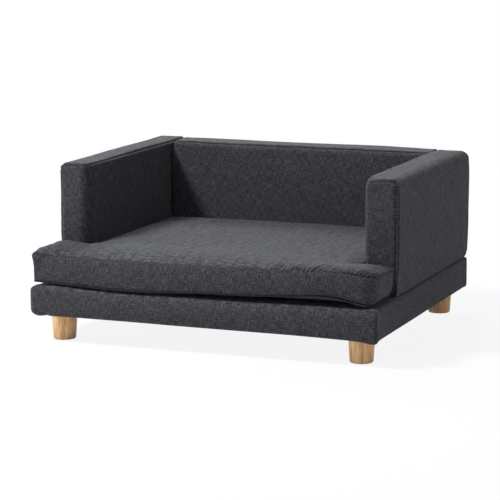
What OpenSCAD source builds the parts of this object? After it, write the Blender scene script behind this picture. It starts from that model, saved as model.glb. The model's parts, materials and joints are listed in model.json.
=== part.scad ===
// Dog sofa bed: a padded base on four legs, two arms, a back and a loose T-shaped seat cushion.
// Millimetres, +Z up, +Y to the back. The origin is on the floor, under the middle of the base.

/* [Overall] */
// Width over the base and the arms
sofa_w = 720; // [660:4:840]
// Depth from the front of the base to the back
sofa_d = 640; // [580:4:740]
// Height of the arms and the back above the floor
sofa_h = 345; // [320:1:400]

/* [Base] */
// Height of the base's underside above the floor
base_lift = 53; // [46:1:90]
// Thickness of the padded base
base_t = 63; // [57:1:76]
// How far the base's ends and front stand proud between their edges
base_bulge = 4; // [1:0.5:6]
// Radius of the base's edges
base_edge_r = 7; // [4:0.5:10]
// Radius of the base's upright corners
base_corner_r = 12; // [6:1:18]
// Width of the cover's turned-under edge
flange_w = 21; // [19:0.5:22]

/* [Arms and back] */
// Thickness of each arm
arm_t = 66; // [58:1:84]
// Thickness of the back
back_t = 84; // [76:1:100]
// How far the arms' fronts lie behind the front of the base
arm_setback = 132; // [115:1:160]
// Crown of the arms' and the back's large faces
panel_bulge = 3; // [1:0.5:4]
// Crown of the narrow top faces
top_bulge = 1.5; // [0.5:0.5:3]
// Radius of the soft edges that have no seam
soft_edge_r = 13; // [8:1:15]
// Radius of the edges that carry a seam
seam_edge_r = 4; // [2.5:0.5:6]
// Gap between the back's ends and the arms
panel_gap = 0.5; // [0.3:0.1:1]

/* [Upholstery] */
// Thickness of the woven cover with its backing
cloth_t = 1.5; // [1:0.1:2]
// Thickness of the foam round the base's rails
edge_foam_t = 12; // [10:1:15]
// Thickness of the foam on the arms' faces, fronts and tops
arm_foam_t = 14; // [10:1:16]
// Thickness of the foam on the front of the back
back_foam_t = 24; // [18:1:26]
// Thickness of the foam on the rear of the back
rear_foam_t = 16; // [12:1:18]
// Thickness of the foam where a panel's end shows least
end_foam_t = 8; // [6:1:12]
// Thickness of the dust cover
dust_t = 0.8; // [0.5:0.1:1]

/* [Seat cushion] */
// Height of the cushion's side band
cushion_t = 60; // [48:1:72]
// Rise of the cushion's crown above its side band
cushion_crown = 16; // [8:1:24]
// Gap between the cushion and each arm
cushion_side_gap = 3; // [2:0.5:5]
// Gap between the cushion and the back, which holds the zip
cushion_rear_gap = 10; // [9.5:0.5:14]
// Gap between the cushion's ears and the arms' fronts
ear_gap = 8; // [4:1:12]
// How far the cushion's ears and front stay inside the base's outline
cushion_inset = 3; // [1:0.5:6]
// Radius of the cushion's front corners in plan
ear_r = 26; // [18:1:34]
// Radius of the ears' rear corners and the cushion's rear corners in plan
cushion_rear_r = 16; // [10:1:20]
// How far the side band is drawn in between the corners
cushion_draw = 4; // [1:0.5:6]
// How far the seams lie inside the side band's middle
seam_inset = 2.5; // [1:0.5:3]
// Clearance between the cushion and what it lies on
cushion_rest_gap = 0.3; // [0.3:0.1:0.6]

/* [Timber frame] */
// Width of the base's rails
rail_w = 45; // [44:1:50]
// Height of the base's rails
rail_h = 40; // [34:1:42]
// Thickness of the deck board
deck_t = 9; // [6:1:10]
// Length of each corner block's short sides
block_w = 45; // [30:1:60]
// Depth of the rails and posts in the arms and the back
post_w = 22; // [18:1:26]
// Thickness of the hardboard skins
skin_t = 3; // [2:0.5:4]

/* [Legs] */
// Diameter of a leg's top
leg_top_d = 53; // [44:1:54]
// Diameter of a leg's foot
leg_foot_d = 46.5; // [36:0.5:48]
// Radius of the foot's worn edge
leg_round = 3; // [1:0.5:4]
// Distance of the legs' axes from the base's ends
leg_inset_x = 44; // [42:1:50]
// Distance of the legs' axes from the base's front and rear
leg_inset_y = 53; // [46:1:60]
// Diameter of a foot glide
glide_d = 22; // [16:1:26]
// Thickness of a foot glide
glide_t = 4; // [3:0.5:5]
// How far a glide stands below the wood
glide_proud = 1; // [0.6:0.2:2]

/* [Fasteners] */
// Thread diameter of the bolts that hold the arms and the back
bolt_d = 6; // [5:0.5:6.5]
// Thread diameter of the legs' hanger bolts
hanger_d = 8; // [7:0.5:9]
// Diameter of the frame screws
screw_d = 4.5; // [4:0.5:5.5]
// Length of the frame screws
screw_l = 80; // [65:5:90]
// Diameter of the washers
washer_d = 18; // [16:1:19]
// Thickness of washers and of tee nut flanges
washer_t = 1.5; // [1:0.1:2]
// Depth of the pockets that take the bolt heads
pocket_depth = 9; // [8:0.5:11]
// Length of a staple's crown
staple_w = 10; // [8:1:12]
// Length of a staple's legs
staple_l = 8; // [6:1:10]

/* [Zip] */
// Length of the zip
zip_l = 400; // [300:10:440]
// Width of the zip's tape
tape_w = 20; // [16:1:21]
// Thickness of the zip's tape
tape_t = 0.8; // [0.6:0.1:1]
// Width of the closed chain
chain_w = 4.5; // [4:0.5:5]
// Thickness of the chain
chain_t = 1.4; // [1.2:0.1:1.5]
// Length of the slider
slider_l = 11; // [9:1:14]
// Width of the slider
slider_w = 8; // [7.5:0.5:10]
// Thickness of the slider
slider_t = 2.4; // [2.3:0.1:2.6]
// Length of the pull
pull_l = 14; // [10:1:15]
// Width of the pull
pull_w = 5; // [4:0.5:6]
// Thickness of the pull
pull_t = 1; // [0.8:0.1:1.1]

/* [Hidden] */
// Overrun of cuts
cut = 1;
// Radial clearance of threads, pins and driven pieces
thread_gap = 0.05;
// Radial clearance of holes that a bolt passes
bolt_clear = 0.5;
// Clearance between the foam core and the cushion's cover
core_gap = 0.2;
// Clearance between the cloth and a leg's top
leg_cloth_gap = 0.5;
// Clearance between the slider and the tape
slider_gap = 0.3;
// Pin of the zip's pull, the wall of the pull's knuckle and the clearance round the knuckle
pull_pin_d = 1.2;
knuckle_wall = 0.5;
knuckle_gap = 0.15;
// Thickness of a bolt's head, and its width across the corners
head_t = 5;
head_d = 11.5;
// Length of the thread that stands past a tee nut
thread_past = 2;
// Barrel of the tee nuts: wall and length
barrel_wall = 1.2;
barrel_l = 12;
// Depth of a hanger bolt in the leg
hanger_depth = 30;
// Nail of a foot glide
nail_d = 3;
nail_l = 10;
// Clearance round a pocket's washer, and of the dust cover's holes round a pocket
pocket_clear = 2;
// Distance of the dust cover's edge from the cover's turned-under edge
dust_gap = 3;
// Distance of a row of staples from the edge of its sheet
staple_inset = 4;
// Section of a staple's wire
wire_t = 1;
// Head of a frame screw: diameter and thickness
screw_head_d = 9;
screw_head_t = 3;
// Steps in a rounded edge, a crowned face and the corners of the cushion
edge_steps = 4;
face_steps = 6;
ear_steps = 3;
$fn = 48;

// Places along the rails, as shares of half the depth and half the width
side_staple_shares = [-0.62, -0.42, -0.1, 0.1, 0.3, 0.46];
end_staple_shares = [-0.7, -0.5, -0.3, -0.1, 0.1, 0.3, 0.5, 0.7];
arm_bolt_shares = [0.2, 0.75];
back_bolt_share = 0.6;
// Heights of the frame screws, as shares of the rail's height
screw_height_shares = [0.25, 0.75];
// Heights of the cushion's rings, as shares of the side band
band_shares = [0.13, 0.25, 0.75, 1];
// Where the rings of the cushion's top lie, as shares of the way to its middle
crown_shares = [0.06, 0.15, 0.3, 0.52, 0.78];
// Where the cushion's top reaches its full height, as a share of the half width
roll_share = 0.14;
// How much of the crown is the dome, and how much the rolled edge
dome_share = 0.45;

// Levels
base_top = base_lift + base_t;
rail_z = base_lift + cloth_t;
deck_z = rail_z + rail_h;
pad_z = deck_z + deck_t;
// Base
half_w = sofa_w / 2;
half_d = sofa_d / 2;
frame_x = half_w - cloth_t - edge_foam_t;
frame_y = half_d - cloth_t - edge_foam_t;
inner_x = frame_x - rail_w;
inner_y = frame_y - rail_w;
// Arms
arm_in = half_w - arm_t;
arm_front = arm_setback - half_d;
arm_mid = half_w - arm_t / 2;
panel_z = base_top + cloth_t;
panel_top = sofa_h - cloth_t - arm_foam_t;
arm_frame_in = arm_in + cloth_t + arm_foam_t;
arm_frame_out = half_w - cloth_t - arm_foam_t;
arm_frame_front = arm_front + cloth_t + arm_foam_t;
arm_frame_rear = half_d - cloth_t - end_foam_t;
// Back
back_front = half_d - back_t;
back_half = arm_in - panel_gap;
back_frame_x = back_half - cloth_t - end_foam_t;
back_frame_front = back_front + cloth_t + back_foam_t;
back_frame_rear = half_d - cloth_t - rear_foam_t;
back_mid = (back_frame_front + back_frame_rear) / 2;
// Bolts
pocket_z = rail_z + pocket_depth;
pocket_r = washer_d / 2 + pocket_clear;
nut_z = panel_z + post_w;
bolt_r = bolt_d / 2;
arm_bolt_ys = [for (s = arm_bolt_shares) arm_front + s * (half_d - arm_front)];
back_bolt_x = back_bolt_share * half_w;
right_bolts = [for (y = arm_bolt_ys) [arm_mid, y]];
left_bolts = [for (y = arm_bolt_ys) [-arm_mid, y]];
rear_bolts = [[-back_bolt_x, back_mid], [back_bolt_x, back_mid]];
all_bolts = concat(left_bolts, right_bolts, rear_bolts);
// Legs
leg_x = half_w - leg_inset_x;
leg_y = half_d - leg_inset_y;
left_legs = [[-leg_x, -leg_y], [-leg_x, leg_y]];
right_legs = [[leg_x, -leg_y], [leg_x, leg_y]];
all_legs = concat(left_legs, right_legs);
hanger_r = hanger_d / 2;
leg_nut_z = deck_z - washer_t;
// Turned-under cloth and dust cover
flange_x = half_w - flange_w;
flange_y = half_d - flange_w;
dust_x = flange_x - dust_gap;
dust_y = flange_y - dust_gap;
dust_z = rail_z - dust_t;
// Cushion
cushion_z = base_top + cushion_rest_gap;
cushion_front = cushion_inset - half_d;
cushion_rear = back_front - cushion_rear_gap;
ear_half = half_w - cushion_inset;
ear_rear = arm_front - ear_gap;
seat_half = arm_in - cushion_side_gap;
hub = [0, (cushion_front + ear_rear) / 2];
// Zip
zip_z = cushion_z + cushion_t / 2;
tape_y = cushion_rear;
chain_y = tape_y + tape_t;
slider_y = chain_y + slider_gap;
slider_x = zip_l / 2 - slider_l;
pin_r = pull_pin_d / 2;
knuckle_r = pin_r + thread_gap + knuckle_wall;
pin_x = slider_x + slider_l / 2;
pin_y = slider_y + slider_t + knuckle_gap + knuckle_r;

// Colours
cloth_color = [0.22, 0.23, 0.25];
foam_color = [0.93, 0.89, 0.72];
timber_color = [0.83, 0.68, 0.46];
board_color = [0.72, 0.55, 0.36];
leg_color = [0.85, 0.66, 0.42];
steel_color = [0.72, 0.73, 0.75];
dust_color = [0.08, 0.08, 0.09];

// Points along a side that bows outwards by s, without its last point
function bowed_side(p, q, s) =
    let (l = norm(q - p), out = [q.y - p.y, p.x - q.x] / l)
    [for (i = [0 : face_steps - 1]) let (t = i / face_steps) p + (q - p) * t + out * 4 * s * t * (1 - t)];

// Points of a rounded corner about c, from angle a to a + 90
function round_corner(c, r, a) =
    [for (i = [0 : edge_steps - 1]) let (b = a + 90 * i / edge_steps) c + r * [cos(b), sin(b)]];

// A rectangle from lo to hi, anticlockwise from its lower right corner. r holds the radii of the corners
// lower right, upper right, upper left, lower left; s how far the right, upper, left and lower sides bow.
// The bow is part of the size.
function padded_outline(lo, hi, r, s) =
    let (
        a = [lo.x + s[2], lo.y + s[3]],
        b = [hi.x - s[0], hi.y - s[1]]
    )
    concat(
        round_corner([b.x - r[0], a.y + r[0]], r[0], 270),
        bowed_side([b.x, a.y + r[0]], [b.x, b.y - r[1]], s[0]),
        round_corner([b.x - r[1], b.y - r[1]], r[1], 0),
        bowed_side([b.x - r[1], b.y], [a.x + r[2], b.y], s[1]),
        round_corner([a.x + r[2], b.y - r[2]], r[2], 90),
        bowed_side([a.x, b.y - r[2]], [a.x, a.y + r[3]], s[2]),
        round_corner([a.x + r[3], a.y + r[3]], r[3], 180),
        bowed_side([a.x + r[3], a.y], [b.x - r[0], a.y], s[3])
    );

// A padded block between two corners. The front view sets its ends and top, the side view its front and
// rear, and the plan its upright corners. g sets every face inwards, for the inside of the cover.
module padded_block(lo, hi, front_r, front_s, side_r, side_s, plan_r, g = 0) {
    low = lo + [g, g, g];
    high = hi - [g, g, g];
    intersection() {
        translate([0, high.y + cut, 0]) rotate([90, 0, 0])
            linear_extrude(high.y - low.y + 2 * cut)
                polygon(padded_outline(
                    [low.x, low.z], [high.x, high.z], [for (r = front_r) r - g], front_s));
        translate([low.x - cut, 0, 0]) rotate([90, 0, 90])
            linear_extrude(high.x - low.x + 2 * cut)
                polygon(padded_outline(
                    [low.y, low.z - cut], [high.y, high.z + cut],
                    [for (r = side_r) r + cut - g], [side_s[0], 0, side_s[1], 0]));
        translate([0, 0, low.z - cut])
            linear_extrude(high.z - low.z + 2 * cut)
                polygon(padded_outline(
                    [low.x - cut, low.y - cut], [high.x + cut, high.y + cut],
                    [for (r = plan_r) r + cut - g], [0, 0, 0, 0]));
    }
}

module box(lo, hi) {
    translate(lo) cube(hi - lo);
}

// Upright holes at a list of places, from z0 to z1
module holes(places, r, z0, z1) {
    for (p = places) translate([p.x, p.y, z0]) cylinder(r = r, h = z1 - z0);
}

// A tee nut with its flange on top, the flange's underside at z = 0
module tee_nut(r) {
    difference() {
        union() {
            translate([0, 0, -barrel_l]) cylinder(r = r + thread_gap + barrel_wall, h = barrel_l + washer_t);
            cylinder(r = washer_d / 2, h = washer_t);
        }
        translate([0, 0, -barrel_l - cut])
            cylinder(r = r + thread_gap, h = barrel_l + washer_t + 2 * cut);
    }
}

// The room of a tee nut's barrel below z, and of the bolt's shank below that
module tee_nut_hole(place, r, z, z_end) {
    translate([place.x, place.y, z - barrel_l])
        cylinder(r = r + 2 * thread_gap + barrel_wall, h = barrel_l + cut);
    translate([place.x, place.y, z_end - cut])
        cylinder(r = r + bolt_clear, h = z - z_end);
}

// Base

module base_block(g = 0) {
    padded_block(
        [-half_w, -half_d, base_lift], [half_w, half_d, base_top],
        [for (i = [0 : 3]) base_edge_r], [base_bulge, 0, base_bulge, 0],
        [for (i = [0 : 3]) base_edge_r], [base_bulge, base_bulge],
        [for (i = [0 : 3]) base_corner_r], g);
}

module base_cover() {
    color(cloth_color) difference() {
        base_block();
        base_block(cloth_t);
        box([-flange_x, -flange_y, base_lift - cut], [flange_x, flange_y, rail_z + cut]);
        holes(all_legs, leg_top_d / 2 + leg_cloth_gap, base_lift - cut, rail_z + cut);
        holes(all_bolts, bolt_r + bolt_clear, pad_z, base_top + cut);
    }
}

module base_top_foam() {
    color(foam_color) difference() {
        base_block(cloth_t);
        box([-sofa_w, -sofa_d, 0], [sofa_w, sofa_d, pad_z]);
        holes(all_bolts, bolt_r + bolt_clear, base_lift, base_top + cut);
    }
}

module base_edge_foam() {
    color(foam_color) difference() {
        base_block(cloth_t);
        box([-sofa_w, -sofa_d, pad_z], [sofa_w, sofa_d, sofa_h]);
        box([-frame_x, -frame_y, base_lift], [frame_x, frame_y, pad_z + cut]);
    }
}

module deck_board() {
    color(board_color) difference() {
        box([-frame_x, -frame_y, deck_z], [frame_x, frame_y, pad_z]);
        holes(all_bolts, bolt_r + bolt_clear, deck_z - cut, pad_z + cut);
    }
}

// The screws' pilot holes at one end of the frame: side is -1 or 1
module screw_places(side) {
    for (y = [-1, 1], s = screw_height_shares)
        translate([side * frame_x, y * (frame_y - rail_w / 2), rail_z + s * rail_h])
            rotate([0, -side * 90, 0])
                children();
}

module screw(gap = 0) {
    cylinder(r = screw_d / 2 + gap, h = screw_l + gap);
    translate([0, 0, -gap]) cylinder(r = screw_head_d / 2 + gap, h = screw_head_t + gap);
}

module end_rail(y0) {
    color(timber_color) difference() {
        box([-inner_x, y0, rail_z], [inner_x, y0 + rail_w, deck_z]);
        for (side = [-1, 1]) screw_places(side) screw(thread_gap);
        bolt_holes(rear_bolts);
    }
}

// Clearance hole and head pocket of each bolt in a base rail
module bolt_holes(places) {
    holes(places, bolt_r + bolt_clear, rail_z, deck_z + cut);
    holes(places, pocket_r, rail_z - cut, pocket_z);
}

module front_rail() {
    end_rail(-frame_y);
}

module rear_rail() {
    end_rail(inner_y);
}

module side_rail(side, bolts, legs) {
    color(timber_color) difference() {
        translate([side * (inner_x + frame_x) / 2, 0, (rail_z + deck_z) / 2])
            cube([rail_w, 2 * frame_y, rail_h], center = true);
        screw_places(side) screw(thread_gap);
        bolt_holes(bolts);
        for (p = legs) tee_nut_hole(p, hanger_r, leg_nut_z, rail_z);
        holes(legs, washer_d / 2 + thread_gap, leg_nut_z, deck_z + cut);
    }
}

module left_rail() {
    side_rail(-1, left_bolts, left_legs);
}

module right_rail() {
    side_rail(1, right_bolts, right_legs);
}

module center_rail() {
    color(timber_color) box([-rail_w / 2, -inner_y, rail_z], [rail_w / 2, inner_y, deck_z]);
}

module corner_blocks() {
    color(timber_color)
        for (x = [0, 1], y = [0, 1])
            mirror([x, 0, 0]) mirror([0, y, 0])
                translate([inner_x, inner_y, rail_z])
                    linear_extrude(rail_h)
                        polygon([[0, 0], [-block_w, 0], [0, -block_w]]);
}

module frame_screws() {
    color(steel_color) for (side = [-1, 1]) screw_places(side) screw();
}

module dust_cover() {
    color(dust_color) difference() {
        box([-dust_x, -dust_y, dust_z], [dust_x, dust_y, rail_z]);
        holes(all_legs, leg_top_d / 2 + leg_cloth_gap, dust_z - cut, rail_z + cut);
        holes(all_bolts, pocket_r, dust_z - cut, rail_z + cut);
    }
}

// A staple driven upwards, its crown's top at z = 0 and its length along Y
module staple() {
    translate([-wire_t / 2, -staple_w / 2, -wire_t]) cube([wire_t, staple_w, wire_t]);
    for (y = [-staple_w / 2, staple_w / 2 - wire_t])
        translate([-wire_t / 2, y, -wire_t]) cube([wire_t, wire_t, staple_l + wire_t]);
}

// A frame of staples at x and y from the middle, under a sheet whose underside is at z
module staple_row(x, y, z) {
    for (side = [-1, 1]) {
        for (s = side_staple_shares) translate([side * x, s * half_d, z]) staple();
        for (s = end_staple_shares) translate([s * half_w, side * y, z]) rotate([0, 0, 90]) staple();
    }
}

module staples() {
    color(steel_color) {
        staple_row(dust_x - staple_inset, dust_y - staple_inset, dust_z);
        staple_row(flange_x + staple_inset, flange_y + staple_inset, base_lift);
    }
}

// Legs

// A turned leg with its worn foot, the hanger bolt's bore and the glide's seat
module leg(place) {
    foot_r = leg_foot_d / 2;
    worn = [for (i = [0 : edge_steps])
        let (b = 270 + 90 * i / edge_steps)
        [foot_r - leg_round + leg_round * cos(b), glide_proud + leg_round + leg_round * sin(b)]];
    color(leg_color) translate([place.x, place.y, 0]) difference() {
        rotate_extrude()
            polygon(concat([[0, glide_proud]], worn, [[leg_top_d / 2, rail_z], [0, rail_z]]));
        translate([0, 0, rail_z - hanger_depth]) cylinder(r = hanger_r + thread_gap, h = hanger_depth + cut);
        translate([0, 0, -cut]) cylinder(r = glide_d / 2 + thread_gap, h = glide_t + cut);
        translate([0, 0, -cut]) cylinder(r = nail_d / 2 + thread_gap, h = glide_t + nail_l + cut);
    }
}

module leg_front_left() {
    leg([-leg_x, -leg_y]);
}

module leg_front_right() {
    leg([leg_x, -leg_y]);
}

module leg_rear_left() {
    leg([-leg_x, leg_y]);
}

module leg_rear_right() {
    leg([leg_x, leg_y]);
}

module hanger_bolts() {
    color(steel_color) holes(all_legs, hanger_r, rail_z - hanger_depth, leg_nut_z + washer_t);
}

module leg_nuts() {
    color(steel_color) for (p = all_legs) translate([p.x, p.y, leg_nut_z]) tee_nut(hanger_r);
}

module foot_glides() {
    color(dust_color) for (p = all_legs) translate([p.x, p.y, 0]) {
        cylinder(r = glide_d / 2, h = glide_t);
        cylinder(r = nail_d / 2, h = glide_t + nail_l);
    }
}

// Arms, drawn on the right and mirrored for the left

module arm_block(g = 0) {
    padded_block(
        [arm_in, arm_front, base_top], [half_w, half_d, sofa_h],
        [seam_edge_r, soft_edge_r, seam_edge_r, seam_edge_r],
        [panel_bulge, top_bulge, panel_bulge / 2, 0],
        [seam_edge_r, soft_edge_r, seam_edge_r, seam_edge_r],
        [panel_bulge, panel_bulge / 2],
        [seam_edge_r, soft_edge_r, seam_edge_r, soft_edge_r], g);
}

module arm_cover() {
    color(cloth_color) difference() {
        arm_block();
        arm_block(cloth_t);
        holes(right_bolts, bolt_r + bolt_clear, base_top - cut, panel_z + cut);
    }
}

module arm_foam() {
    color(foam_color) difference() {
        arm_block(cloth_t);
        box([arm_frame_in, arm_frame_front, base_top], [arm_frame_out, arm_frame_rear, panel_top]);
    }
}

// A piece of the arm's frame between the skins
module arm_timber(y0, y1, z0, z1) {
    color(timber_color)
        box([arm_frame_in + skin_t, y0, z0], [arm_frame_out - skin_t, y1, z1]);
}

module arm_bottom_rail() {
    difference() {
        arm_timber(arm_frame_front, arm_frame_rear, panel_z, nut_z);
        for (p = right_bolts) color(timber_color) tee_nut_hole(p, bolt_r, nut_z, panel_z);
    }
}

module arm_top_rail() {
    arm_timber(arm_frame_front, arm_frame_rear, panel_top - post_w, panel_top);
}

module arm_front_post() {
    arm_timber(arm_frame_front, arm_frame_front + post_w, nut_z, panel_top - post_w);
}

module arm_rear_post() {
    arm_timber(arm_frame_rear - post_w, arm_frame_rear, nut_z, panel_top - post_w);
}

module arm_inner_skin() {
    color(board_color)
        box([arm_frame_in, arm_frame_front, panel_z], [arm_frame_in + skin_t, arm_frame_rear, panel_top]);
}

module arm_outer_skin() {
    color(board_color)
        box([arm_frame_out - skin_t, arm_frame_front, panel_z], [arm_frame_out, arm_frame_rear, panel_top]);
}

module left() {
    mirror([1, 0, 0]) children();
}

module left_arm_cover() {
    left() arm_cover();
}

module left_arm_foam() {
    left() arm_foam();
}

module left_arm_bottom_rail() {
    left() arm_bottom_rail();
}

module left_arm_top_rail() {
    left() arm_top_rail();
}

module left_arm_front_post() {
    left() arm_front_post();
}

module left_arm_rear_post() {
    left() arm_rear_post();
}

module left_arm_inner_skin() {
    left() arm_inner_skin();
}

module left_arm_outer_skin() {
    left() arm_outer_skin();
}

// Back

module back_block(g = 0) {
    padded_block(
        [-back_half, back_front, base_top], [back_half, half_d, sofa_h],
        [for (i = [0 : 3]) seam_edge_r], [0, top_bulge, 0, 0],
        [seam_edge_r, soft_edge_r, seam_edge_r, seam_edge_r],
        [panel_bulge, panel_bulge],
        [for (i = [0 : 3]) seam_edge_r], g);
}

module back_cover() {
    color(cloth_color) difference() {
        back_block();
        back_block(cloth_t);
        holes(rear_bolts, bolt_r + bolt_clear, base_top - cut, panel_z + cut);
    }
}

module back_foam() {
    color(foam_color) difference() {
        back_block(cloth_t);
        box([-back_frame_x, back_frame_front, base_top], [back_frame_x, back_frame_rear, panel_top]);
    }
}

// A piece of the back's frame between the skins
module back_timber(x0, x1, z0, z1) {
    color(timber_color)
        box([x0, back_frame_front + skin_t, z0], [x1, back_frame_rear - skin_t, z1]);
}

module back_bottom_rail() {
    difference() {
        back_timber(-back_frame_x, back_frame_x, panel_z, nut_z);
        for (p = rear_bolts) color(timber_color) tee_nut_hole(p, bolt_r, nut_z, panel_z);
    }
}

module back_top_rail() {
    back_timber(-back_frame_x, back_frame_x, panel_top - post_w, panel_top);
}

module back_post(x) {
    back_timber(x - post_w / 2, x + post_w / 2, nut_z, panel_top - post_w);
}

module back_left_post() {
    back_post(post_w / 2 - back_frame_x);
}

module back_right_post() {
    back_post(back_frame_x - post_w / 2);
}

module back_middle_post() {
    back_post(0);
}

module back_skin(y) {
    color(board_color) box([-back_frame_x, y, panel_z], [back_frame_x, y + skin_t, panel_top]);
}

module back_front_skin() {
    back_skin(back_frame_front);
}

module back_rear_skin() {
    back_skin(back_frame_rear - skin_t);
}

// Bolts

module panel_bolts(places) {
    color(steel_color) for (p = places) translate([p.x, p.y, 0]) {
        translate([0, 0, pocket_z - washer_t - head_t]) cylinder(d = head_d, h = head_t, $fn = 6);
        translate([0, 0, pocket_z - washer_t - head_t])
            cylinder(r = bolt_r, h = nut_z + washer_t + thread_past - pocket_z + washer_t + head_t);
    }
}

module arm_bolts() {
    panel_bolts(concat(left_bolts, right_bolts));
}

module back_bolts() {
    panel_bolts(rear_bolts);
}

module bolt_washers() {
    color(steel_color) for (p = all_bolts) translate([p.x, p.y, pocket_z - washer_t]) difference() {
        cylinder(d = washer_d, h = washer_t);
        translate([0, 0, -cut]) cylinder(r = bolt_r + thread_gap, h = washer_t + 2 * cut);
    }
}

module panel_nuts() {
    color(steel_color) for (p = all_bolts) translate([p.x, p.y, nut_z]) tee_nut(bolt_r);
}

// Seat cushion

// Points of a side of the cushion, drawn in by d at its middle, with the way outwards at each point
function cushion_side(p, q, steps, d) =
    let (l = norm(q - p), out = [q.y - p.y, p.x - q.x] / l)
    [for (i = [1 : steps - 1]) let (t = i / steps) [p + (q - p) * t - out * 4 * d * t * (1 - t), out]];

// Points of a corner about c, turning left where r is positive and right where it is negative
function cushion_corner(c, r, a) =
    [for (i = [0 : ear_steps])
        let (b = r > 0 ? a + 90 * i / ear_steps : a - 90 * i / ear_steps, way = [cos(b), sin(b)])
        [c + abs(r) * way, r > 0 ? way : -way]];

// The cushion's T in plan, anticlockwise from its front left corner, set inwards by g
function cushion_outline(g) =
    let (
        e = ear_half - g, s = seat_half - g,
        f = cushion_front + g, k = ear_rear - g, b = cushion_rear - g,
        re = ear_r - g, rr = cushion_rear_r - g, rn = ear_gap + g
    )
    concat(
        cushion_corner([re - e, f + re], re, 180),
        cushion_side([re - e, f], [e - re, f], 2 * face_steps, cushion_draw),
        cushion_corner([e - re, f + re], re, 270),
        cushion_side([e, f + re], [e, k - rr], 2, 0),
        cushion_corner([e - rr, k - rr], rr, 0),
        cushion_corner([s + rn, k + rn], -rn, 270),
        cushion_side([s, k + rn], [s, b - rr], face_steps, cushion_draw / 2),
        cushion_corner([s - rr, b - rr], rr, 0),
        cushion_side([s - rr, b], [rr - s, b], face_steps, 0),
        cushion_corner([rr - s, b - rr], rr, 90),
        cushion_side([-s, b - rr], [-s, k + rn], face_steps, cushion_draw / 2),
        cushion_corner([-s - rn, k + rn], -rn, 0),
        cushion_corner([rr - e, k - rr], rr, 90),
        cushion_side([-e, k - rr], [-e, f + re], 2, 0)
    );

// Distance of a point from the edge of a rectangle, inside it
function depth_in(p, lo, hi) = min(p.x - lo.x, hi.x - p.x, p.y - lo.y, hi.y - p.y);

// Rise of the cushion's top above the side band at a point
function crown_at(p) =
    let (
        d = max(
            depth_in(p, [-ear_half, cushion_front], [ear_half, ear_rear]),
            depth_in(p, [-seat_half, cushion_front], [seat_half, cushion_rear]), 0),
        roll = roll_share * seat_half,
        t = min(1, d / roll),
        u = p.x / ear_half,
        v = (2 * p.y - cushion_front - cushion_rear) / (cushion_rear - cushion_front),
        edge = 1 - (1 - t) * (1 - t),
        dome = (1 - u * u) * (1 - v * v)
    )
    cushion_crown * edge * (1 - dome_share + dome_share * dome);

// The cushion as a closed form, set inwards by g
module cushion_form(g) {
    outline = cushion_outline(g);
    n = len(outline);
    z0 = cushion_z + g;
    band = cushion_t - 2 * g;
    foot = [for (q = outline) let (p = q[0] + (hub - q[0]) * crown_shares[0]) [p.x, p.y, z0]];
    // The side band: seam, two rings of its flat middle, seam
    bands = [for (i = [0 : len(band_shares) - 1])
        let (inset = i == 1 || i == 2 ? 0 : seam_inset)
        for (q = outline) let (p = q[0] - q[1] * inset) [p.x, p.y, z0 + band * band_shares[i]]];
    tops = [for (t = crown_shares) for (q = outline)
        let (p = q[0] + (hub - q[0]) * t) [p.x, p.y, z0 + band + crown_at(p)]];
    points = concat(foot, bands, tops, [[hub.x, hub.y, z0], [hub.x, hub.y, z0 + band + crown_at(hub)]]);
    rings = 1 + len(band_shares) + len(crown_shares);
    low = rings * n;
    high = low + 1;
    faces = concat(
        [for (i = [0 : n - 1]) [low, i, (i + 1) % n]],
        [for (k = [0 : rings - 2], i = [0 : n - 1], h = [0, 1])
            let (a = k * n + i, b = k * n + (i + 1) % n)
            h == 0 ? [a, a + n, b] : [b, a + n, b + n]],
        [for (i = [0 : n - 1]) [high, (rings - 1) * n + (i + 1) % n, (rings - 1) * n + i]]
    );
    polyhedron(points, faces);
}

module seat_cushion_cover() {
    color(cloth_color) difference() {
        cushion_form(0);
        cushion_form(cloth_t);
    }
}

module seat_cushion_core() {
    color(foam_color) cushion_form(cloth_t + core_gap);
}

// Zip in the cushion's rear band

module zip_tape() {
    color(cloth_color)
        box([-zip_l / 2, tape_y, zip_z - tape_w / 2], [zip_l / 2, chain_y, zip_z + tape_w / 2]);
}

module zip_chain() {
    color(dust_color)
        box([-zip_l / 2, chain_y, zip_z - chain_w / 2], [zip_l / 2, chain_y + chain_t, zip_z + chain_w / 2]);
}

// The slider straddles the chain, and its two lugs hold the upright pin of the pull
module zip_slider() {
    lug_z = pull_w / 2 + knuckle_gap;
    color(steel_color) {
        difference() {
            box([slider_x, slider_y, zip_z - slider_w / 2],
                [slider_x + slider_l, slider_y + slider_t, zip_z + slider_w / 2]);
            box([slider_x - cut, slider_y - cut, zip_z - chain_w / 2 - slider_gap],
                [slider_x + slider_l + cut, chain_y + chain_t + slider_gap, zip_z + chain_w / 2 + slider_gap]);
        }
        for (side = [0, 1]) translate([0, 0, zip_z]) mirror([0, 0, side])
            box([pin_x - knuckle_r, slider_y + slider_t, lug_z],
                [pin_x + knuckle_r, pin_y + pin_r, slider_w / 2]);
        translate([pin_x, pin_y, zip_z]) cylinder(r = pin_r, h = 2 * lug_z, center = true);
    }
}

// The pull turns on the pin with its knuckle and trails along the chain
module zip_pull() {
    color(steel_color) translate([pin_x, pin_y, zip_z]) difference() {
        union() {
            cylinder(r = knuckle_r, h = pull_w, center = true);
            box([-pull_l, -pull_t / 2, -pull_w / 2], [0, pull_t / 2, pull_w / 2]);
        }
        cylinder(r = pin_r + thread_gap, h = pull_w + 2 * cut, center = true);
    }
}

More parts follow.
